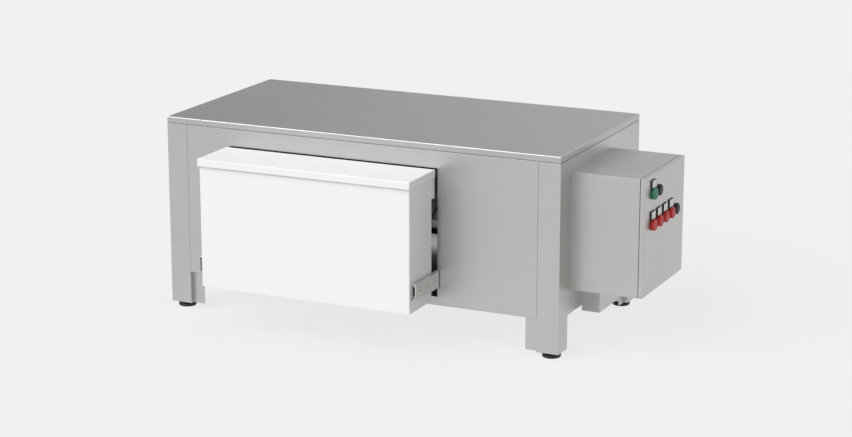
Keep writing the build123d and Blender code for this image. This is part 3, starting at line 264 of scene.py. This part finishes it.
def copies(master, moves):
    """Copies a piece to each place, each copy with its own mesh, and joins them."""
    made = []
    for move in moves:
        copy = master.copy()
        copy.data = master.data.copy()
        copy.data.transform(move)
        bpy.context.collection.objects.link(copy)
        made.append(copy)
    bpy.data.objects.remove(master)
    return join(made)


def join(pieces):
    """Joins several pieces into the first."""
    bpy.ops.object.select_all(action="DESELECT")
    for piece in pieces:
        piece.select_set(True)
    bpy.context.view_layer.objects.active = pieces[0]
    if len(pieces) > 1:
        bpy.ops.object.join()
    return pieces[0]


def middle(node):
    """The middle of a model piece's box."""
    low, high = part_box(node)
    return (Vector(low) + Vector(high)) / 2


# The nuts sit between the discs and the end plates, over the model's plain collars
foot_radius = 0.025
nut_radius = 0.0135
nut_height = 0.0055
nut_bottom = 0.0103
feet_low, feet_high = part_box("levelling_feet")
foot_places = [(x, y) for x in (feet_low[0] + foot_radius, feet_high[0] - foot_radius)
               for y in (feet_low[1] + foot_radius, feet_high[1] - foot_radius)]
bpy.ops.mesh.primitive_cylinder_add(vertices=6, radius=nut_radius, depth=nut_height,
                                    location=(0, 0, nut_height / 2))
nut = bpy.context.object
bpy.ops.object.transform_apply(location=True)
foot_nuts = copies(nut, [Matrix.Translation((x, y, nut_bottom)) for x, y in foot_places])
settle(foot_nuts, "foot_nuts", black_polyamide, "housing", bevel=0.0008)

# Panels and base plate
# Folded stainless sheet, 2 mm thick, set flush between the legs and spot welded.
# The cable cover and the control box are folded from the same sheet.
dress(upright_steel, "front_panel", "left_side_panel", "right_side_panel", "rear_panel", "base_plate",
      "cable_duct")

# Top cover
# A shallow tray of stainless sheet that rests on the legs, with folded and ground edges.
# It is brushed along its length, and its top shows darker because it mirrors the room.
cover_steel = satin_steel("brushed stainless cover", "#C2C1C0", (0.16, 0.0018, 0.0018), 0.42)
dress(cover_steel, "top_cover")

# Drum stands and bearings
# Machined steel plates with an arch, and round cast flange bearings with four bolts each.
# They carry the drum above its tank, behind the ice opening.


def cast_metal(name, colour, roughness, metallic, grit):
    """Cast, rolled or painted metal with an uneven skin. grit is the unevenness in metres."""
    material, tree = new_material(name)
    place = add_node(tree, "ShaderNodeTexCoord")
    skin = add_node(tree, "ShaderNodeTexNoise", {"Scale": 1 / grit, "Detail": 4.0, "Roughness": 0.55},
                    {"Vector": place.outputs["Object"]})
    shade = add_node(tree, "ShaderNodeMapRange",
                     {"From Min": 0.3, "From Max": 0.7, "To Min": 0.9, "To Max": 1.06},
                     {"Value": skin.outputs[0]})
    tint = add_node(tree, "ShaderNodeVectorMath", {0: linear(colour)[:3]}, {"Scale": shade.outputs[0]},
                    operation="SCALE")
    rough = add_node(tree, "ShaderNodeMapRange",
                     {"From Min": 0.3, "From Max": 0.7, "To Min": roughness - 0.07, "To Max": roughness + 0.07},
                     {"Value": skin.outputs[0]})
    edge = add_node(tree, "ShaderNodeBevel", {"Radius": 0.0008}, samples=4)
    relief = add_node(tree, "ShaderNodeBump", {"Strength": 0.12, "Distance": grit / 4},
                      {"Height": skin.outputs[0], "Normal": edge.outputs[0]})
    surface = add_node(tree, "ShaderNodeBsdfPrincipled", {"Metallic": metallic},
                       {"Base Color": tint.outputs[0], "Roughness": rough.outputs[0],
                        "Normal": relief.outputs[0]})
    add_node(tree, "ShaderNodeOutputMaterial", links={"Surface": surface.outputs[0]})
    return material


def hexagon_bolt(size):
    """A hexagon bolt head on a washer, upright at the origin. size is the thread's diameter."""
    bpy.ops.mesh.primitive_cylinder_add(vertices=32, radius=size * 1.15, depth=size * 0.2,
                                        location=(0, 0, size * 0.1))
    washer = bpy.context.object
    bpy.ops.mesh.primitive_cylinder_add(vertices=6, radius=size * 0.95, depth=size * 0.62,
                                        location=(0, 0, size * 0.5))
    head = bpy.context.object
    bolt = join([washer, head])
    bpy.ops.object.transform_apply(location=True)
    return bolt


# Machined mild steel: ground bright, with a soft even sheen
machined_steel = satin_steel("machined steel plate", "#C0C0BE", (0.03, 0.03, 0.0012), 0.36)
# Cast iron under thin grey paint: a slightly pebbled dark skin
cast_iron = cast_metal("cast iron", "#5C5E60", 0.55, 0.6, 0.003)
# Zinc plated steel: pale, cool and slightly mottled
zinc_plate = cast_metal("zinc plated steel", "#BFC3C6", 0.32, 1.0, 0.006)

dress(machined_steel, "drum_stands", "tank_saddles")
dress(cast_iron, "drum_bearings")

bolt_size = 0.008
bolt_circle = 0.036
bearing_low, bearing_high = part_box("drum_bearings")
axis_y, axis_z = middle("evaporator_drum")[1:]
bolt_turns = [radians(45 + 90 * number) for number in range(4)]
bearing_moves = [facing((x, axis_y + bolt_circle * cos(turn), axis_z + bolt_circle * sin(turn)), (side, 0, 0))
                 for x, side in ((bearing_low[0], -1), (bearing_high[0], 1)) for turn in bolt_turns]
settle(copies(hexagon_bolt(bolt_size), bearing_moves), "bearing_bolts", zinc_plate, "housing",
       bevel=0.0005)

# Drum
# A steel drum with its outer face hard chromed and ground, on which the ice freezes.
# The grinding leaves very fine rings round it.
drum_chrome = satin_steel("ground hard chrome", "#D2D3D4", (0.0016, 0.08, 0.08), 0.2)
dress(drum_chrome, "evaporator_drum")

# Water tank
# A round trough of stainless sheet on two cradles, with the drum's lower part in its water.
dress(upright_steel, "water_tank")

# Knife, holder and ice chute
# A bevelled steel knife, clamped on its holder by a row of socket screws, lifts the ice off.
# The chute below it is folded stainless sheet.
ground_steel = satin_steel("ground knife steel", "#CBCBCA", (0.08, 0.002, 0.002), 0.26)
dress(ground_steel, "scraper_knife")
dress(machined_steel, "knife_holder")
dress(upright_steel, "ice_chute")


def select_faces(piece, test):
    """Leaves a piece in edit mode with only the faces selected whose middle and normal pass the test."""
    bpy.ops.object.select_all(action="DESELECT")
    piece.select_set(True)
    bpy.context.view_layer.objects.active = piece
    bpy.ops.object.mode_set(mode="EDIT")
    bpy.ops.mesh.select_mode(type="FACE")
    bpy.ops.mesh.select_all(action="DESELECT")
    bpy.ops.object.mode_set(mode="OBJECT")
    for face in piece.data.polygons:
        face.select = test(face.center, face.normal)
    bpy.ops.object.mode_set(mode="EDIT")


def socket_screw(size):
    """A cylinder head with a socket, upright at the origin. size is the thread's diameter."""
    bpy.ops.mesh.primitive_cylinder_add(vertices=24, radius=size * 0.8, depth=size * 0.8,
                                        location=(0, 0, size * 0.4))
    screw = bpy.context.object
    bpy.ops.object.transform_apply(location=True)
    select_faces(screw, lambda place, normal: normal.z > 0.9)
    bpy.ops.mesh.inset(thickness=size * 0.32)
    bpy.ops.mesh.extrude_region_move(TRANSFORM_OT_translate={"value": (0, 0, -size * 0.4)})
    bpy.ops.object.mode_set(mode="OBJECT")
    return screw


knife_screws = 8
knife_screw_size = 0.006
knife_slope = radians(35)
knife_low, knife_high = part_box("scraper_knife")
down_knife = Vector((0, -cos(knife_slope), -sin(knife_slope)))
off_knife = Vector((0, -sin(knife_slope), cos(knife_slope)))
knife_edge = Vector((0, knife_high[1], knife_high[2]))
screw_line = knife_edge + down_knife * 0.038
screw_pitch = (knife_high[0] - knife_low[0]) / knife_screws
knife_moves = [facing((knife_low[0] + screw_pitch * (number + 0.5), screw_line[1], screw_line[2]), off_knife)
               for number in range(knife_screws)]
settle(copies(socket_screw(knife_screw_size), knife_moves), "knife_screws", zinc_plate,
       "housing", bevel=0.0003)

# Gearbox and motor
# Cast aluminium housings under blue-grey enamel. The gearbox hangs on its flange by
# four bolts, and the finned motor stands behind it with a terminal box and a fan cover.
gearbox_enamel = cast_metal("blue-grey enamel", "#7C8792", 0.38, 0.0, 0.004)
dress(gearbox_enamel, "gearbox", "drive_motor")

gearbox_bolt_size = 0.008
gearbox_bolt_reach = 0.044
gearbox_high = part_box("gearbox")[1]
gearbox_moves = [facing((gearbox_high[0], axis_y + gearbox_bolt_reach * y, axis_z + gearbox_bolt_reach * z),
                        (1, 0, 0))
                 for y in (-1, 1) for z in (-1, 1)]
settle(copies(hexagon_bolt(gearbox_bolt_size), gearbox_moves), "gearbox_bolts", zinc_plate, "housing",
       bevel=0.0004)

# Rotary union and refrigerant pipes
# A turned brass union on the drum's shaft, a copper suction pipe and a thin liquid line
# with its valve. Both pipes leave through the rear panel.
turned_brass = cast_metal("turned brass", "#C9A45A", 0.3, 1.0, 0.002)
drawn_copper = cast_metal("drawn copper", "#C98A66", 0.34, 1.0, 0.008)
dress(turned_brass, "rotary_union", "water_inlet")
dress(drawn_copper, "suction_pipe", "liquid_line")

# Water supply and drain
# A stainless float chamber on two plate legs, plastic pipes, and a moulded ball on a
# brass arm that turns on a pin.
grey_pipe = moulded("grey plastic pipe", "#85888A", 0.45, 0.003)
orange_float = moulded("moulded float ball", "#C8763A", 0.5, 0.002)
dress(upright_steel, "float_chamber")
dress(grey_pipe, "feed_pipe", "drain_pipe")
dress(orange_float, "float_arm")

# Drawer slides and brackets
# Three-part telescopic slides of bright rolled steel on both sides of the hood, carried
# by zinc plated angle brackets inside the cabinet.
rolled_steel = satin_steel("bright rolled steel", "#DADAD8", (0.05, 0.05, 0.0016), 0.34)
dress(rolled_steel, "left_slide_outer", "right_slide_outer", "left_slide_middle", "right_slide_middle",
      "left_slide_inner", "right_slide_inner")
dress(zinc_plate, "slide_brackets")

# Each outer channel shows the heads of its ball cage's rivets
rivet_radius = 0.0022
rivet_height = 0.0008


def dome_rivet(radius, height):
    """A low domed rivet head, upright at the origin."""
    bpy.ops.mesh.primitive_cylinder_add(vertices=24, radius=radius, depth=height, location=(0, 0, height / 2))
    head = bpy.context.object
    bpy.ops.object.transform_apply(location=True)
    select_faces(head, lambda place, normal: normal.z > 0.9)
    bpy.ops.mesh.bevel(offset=height * 0.7, segments=3, affect="EDGES")
    bpy.ops.object.mode_set(mode="OBJECT")
    return head


for side, outward in (("left", -1), ("right", 1)):
    slide_low, slide_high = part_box(side + "_slide_outer")
    slide_middle = middle(side + "_slide_outer")
    web_x = slide_high[0] if outward > 0 else slide_low[0]
    rivet_moves = [facing((web_x, slide_low[1] + along, slide_middle[2] + up), (outward, 0, 0))
                   for along in (0.012, 0.052, 0.1, 0.14) for up in (-0.012, 0.012)]
    settle(copies(dome_rivet(rivet_radius, rivet_height), rivet_moves), side + "_slide_rivets", rolled_steel,
           "housing")

# Hood and lid
# White polyethylene board: a front and two sides, and a loose lid with rounded edges.
# The board is planed smooth, so it shows a soft satin sheen and hardly any grain.
white_board = moulded("white polyethylene board", "#F3F3F3", 0.42, 0.002, 0.0001, variation=0.012)
dress(white_board, "hood_shell", "hood_lid")

# Safety switch and its magnet
# A coded magnetic switch of moulded dark plastic, screwed behind the opening's edge,
# and its magnet on the lid's flange. Two screws hold each.
switch_plastic = moulded("dark moulded switch housing", "#3A3B3D", 0.5, 0.0012)
dress(switch_plastic, "safety_switch", "switch_magnet")

switch_low, switch_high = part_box("safety_switch")
switch_moves = [facing((middle("safety_switch")[0], switch_high[1], z), (0, 1, 0))
                for z in (switch_low[2] + 0.01, switch_high[2] - 0.01)]
settle(copies(socket_screw(0.004), switch_moves), "switch_screws", zinc_plate, "housing")
magnet_low, magnet_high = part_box("switch_magnet")
magnet_moves = [facing((middle("switch_magnet")[0], magnet_high[1], z), (0, 1, 0))
                for z in (magnet_low[2] + 0.007, magnet_high[2] - 0.007)]
settle(copies(dome_rivet(0.003, 0.001), magnet_moves), "magnet_screws", zinc_plate, "hood")

# Control box
# Folded stainless sheet with a rim for the door's gasket, and pin hinges on its rear edge.
# The hinge leaves are held by flat rivets.
dress(upright_steel, "control_box", "control_door")
dress(machined_steel, "box_hinge_leaves", "door_hinge_leaves")

hinge_low, hinge_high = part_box("box_hinge_leaves")
hinge_height = 0.05
leaf_thickness = 0.0025
leaf_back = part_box("control_box")[1][1] + leaf_thickness
hinge_middles = (hinge_low[2] + hinge_height / 2, hinge_high[2] - hinge_height / 2)
leaf_moves = [facing((hinge_low[0] + across, leaf_back, z + up), (0, 1, 0))
              for across in (0.008, 0.022) for z in hinge_middles for up in (-0.016, 0.016)]
settle(copies(dome_rivet(0.003, 0.0012), leaf_moves), "hinge_rivets", zinc_plate, "housing")
# Foam rubber gasket: matt black with an open, uneven skin
gasket_foam = moulded("black foam rubber", "#222222", 0.85, 0.0015, 0.0005)
dress(gasket_foam, "door_gasket")

# Lamps and their labels
# Round coloured lens caps over black moulded holders, each with a blank white label above.
# The lenses are clear-dyed plastic with rings moulded in their face.
dress(black_polyamide, "label_holders", "button_bezels")
blank_label = moulded("white engraving plastic", "#EDEDEA", 0.4, 0.003)
dress(blank_label, "label_inserts")

green_lens = moulded("green dyed lens", "#2F8A68", 0.4, 0.004, 0.0001)
red_lens = moulded("red dyed lens", "#CF2A26", 0.4, 0.004, 0.0001)


def lens_cap(radius, height):
    """A lens cap with a rounded rim and moulded rings, upright at the origin."""
    bpy.ops.mesh.primitive_cylinder_add(vertices=64, radius=radius, depth=height, location=(0, 0, height / 2))
    cap = bpy.context.object
    bpy.ops.object.transform_apply(location=True)
    select_faces(cap, lambda place, normal: normal.z > 0.9)
    bpy.ops.mesh.bevel(offset=0.0016, segments=4, affect="EDGES")
    bpy.ops.object.mode_set(mode="OBJECT")
    select_faces(cap, lambda place, normal: normal.z > 0.99 and place.z > height - 0.0001)
    for step in (-0.0005, 0.0005, -0.0005, 0.0005):
        bpy.ops.mesh.inset(thickness=0.0016)
        bpy.ops.mesh.extrude_region_move(TRANSFORM_OT_translate={"value": (0, 0, step)})
    bpy.ops.object.mode_set(mode="OBJECT")
    return cap


for lens_name, lens_plastic, lens_slot in (("green_lamp", green_lens, "green_lens"),
                                           ("red_lamp_1", red_lens, "red_lens"),
                                           ("red_lamp_2", red_lens, "red_lens"),
                                           ("red_lamp_3", red_lens, "red_lens"),
                                           ("red_lamp_4", red_lens, "red_lens")):
    lens_low, lens_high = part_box(lens_name)
    lens_middle = middle(lens_name)
    cap = lens_cap((lens_high[1] - lens_low[1]) / 2, lens_high[0] - lens_low[0])
    cap.data.transform(facing((lens_low[0], lens_middle[1], lens_middle[2]), (1, 0, 0)))
    settle(cap, lens_name + "_lens", lens_plastic, "control_door")
    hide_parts(lens_name)

# Push buttons
# Black moulded caps with a raised rim and a slightly dished face, each sliding in its bezel.
button_plastic = moulded("black button cap", "#2E3034", 0.4, 0.002)


def button_cap(radius, height):
    """A button cap with a raised rim, a dished face and a stem, upright at the origin."""
    bpy.ops.mesh.primitive_cylinder_add(vertices=48, radius=radius, depth=0.004, location=(0, 0, height - 0.002))
    cap = bpy.context.object
    bpy.ops.object.transform_apply(location=True)
    select_faces(cap, lambda place, normal: normal.z > 0.9)
    bpy.ops.mesh.bevel(offset=0.0007, segments=3, affect="EDGES")
    bpy.ops.object.mode_set(mode="OBJECT")
    select_faces(cap, lambda place, normal: normal.z > 0.99 and place.z > height - 0.0001)
    bpy.ops.mesh.inset(thickness=0.0012)
    bpy.ops.mesh.extrude_region_move(TRANSFORM_OT_translate={"value": (0, 0, -0.0005)})
    for dish in (0.0004, 0.0003, 0.0002):
        bpy.ops.mesh.inset(thickness=0.002, depth=-dish)
    bpy.ops.object.mode_set(mode="OBJECT")
    select_faces(cap, lambda place, normal: normal.z < -0.9)
    bpy.ops.mesh.inset(thickness=0.003)
    bpy.ops.mesh.extrude_region_move(TRANSFORM_OT_translate={"value": (0, 0, 0.004 - height)})
    bpy.ops.object.mode_set(mode="OBJECT")
    return cap


for button_name in ("start_button", "reset_button"):
    button_low, button_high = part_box(button_name)
    button_middle = middle(button_name)
    cap = button_cap((button_high[1] - button_low[1]) / 2, button_high[0] - button_low[0])
    cap.data.transform(facing((button_low[0], button_middle[1], button_middle[2]), (1, 0, 0)))
    settle(cap, button_name + "_cap", button_plastic, button_name)
    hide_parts(button_name)

# Contact blocks
# Black moulded blocks clipped behind the door, one for each lamp and button.
dress(black_polyamide, "contact_blocks")

block_low, block_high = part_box("contact_blocks")
lamp_names = ("green_lamp", "red_lamp_1", "red_lamp_2", "red_lamp_3", "red_lamp_4", "start_button", "reset_button")
screw_moves = [facing((block_low[0], middle(name)[1] + across, middle(name)[2] + up), (-1, 0, 0))
               for name in lamp_names for across in (-0.008, 0.008) for up in (-0.009, 0.009)]
settle(copies(socket_screw(0.0035), screw_moves), "contact_screws", zinc_plate, "control_door")

# Parts inside the control box
# A zinc plated mounting plate with two rails, three contactors and a row of terminals.
# The contactors have a raised coil head and clamp screws above and below it.
dress(zinc_plate, "mounting_plate")
grey_terminal = moulded("grey moulded terminals", "#9A9B98", 0.5, 0.0015)
dress(grey_terminal, "terminal_strip")

contactor_width = 0.045
head_height = 0.048
base_depth = 0.05
contactors_low, contactors_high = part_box("contactors")
contactors_middle = middle("contactors")
contactor_height = contactors_high[2] - contactors_low[2]
contactor_depth = contactors_high[0] - contactors_low[0]
contactor_pitch = (contactors_high[1] - contactors_low[1] - contactor_width) / 2

bpy.ops.mesh.primitive_cube_add(size=1, location=(0, 0, base_depth / 2),
                                scale=(contactor_height, contactor_width, base_depth))
contactor = bpy.context.object
bpy.ops.object.transform_apply(location=True, scale=True)
for side in (-1, 1):
    select_faces(contactor, lambda place, normal: normal.x * side > 0.9)
    bpy.ops.mesh.inset(thickness=0.004)
    bpy.ops.mesh.extrude_region_move(TRANSFORM_OT_translate={"value": (-side * 0.003, 0, 0)})
    bpy.ops.object.mode_set(mode="OBJECT")
bpy.ops.mesh.primitive_cube_add(size=1, location=(0, 0, (base_depth + contactor_depth) / 2),
                                scale=(head_height, contactor_width, contactor_depth - base_depth))
coil_head = bpy.context.object
bpy.ops.object.transform_apply(location=True, scale=True)
select_faces(coil_head, lambda place, normal: normal.z > 0.9)
bpy.ops.mesh.inset(thickness=0.004)
bpy.ops.mesh.extrude_region_move(TRANSFORM_OT_translate={"value": (0, 0, -0.0015)})
bpy.ops.mesh.inset(thickness=0.009)
bpy.ops.mesh.extrude_region_move(TRANSFORM_OT_translate={"value": (0, 0, 0.0012)})
bpy.ops.object.mode_set(mode="OBJECT")
contactor = join([contactor, coil_head])
contactor_places = [(contactors_low[0], contactors_middle[1] + number * contactor_pitch, contactors_middle[2])
                    for number in (-1, 0, 1)]
contactor_row = copies(contactor, [facing(place, (1, 0, 0)) for place in contactor_places])
settle(contactor_row, "contactor_row", black_polyamide, "housing", bevel=0.0008)
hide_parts("contactors")
clamp_moves = [facing((contactors_low[0] + base_depth, y + across, z + up), (1, 0, 0))
               for x, y, z in contactor_places for across in (-0.013, 0, 0.013) for up in (-0.032, 0.032)]
settle(copies(socket_screw(0.0045), clamp_moves), "contactor_screws", zinc_plate, "housing")

terminal_pitch = 0.015
strip_low, strip_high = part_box("terminal_strip")
terminal_count = round((strip_high[1] - strip_low[1]) / terminal_pitch)
terminal_moves = [facing((strip_high[0], strip_low[1] + (number + 0.5) * terminal_pitch, z), (1, 0, 0))
                  for number in range(terminal_count) for z in (strip_low[2] + 0.012, strip_high[2] - 0.012)]
settle(copies(socket_screw(0.004), terminal_moves), "terminal_screws", zinc_plate, "housing")
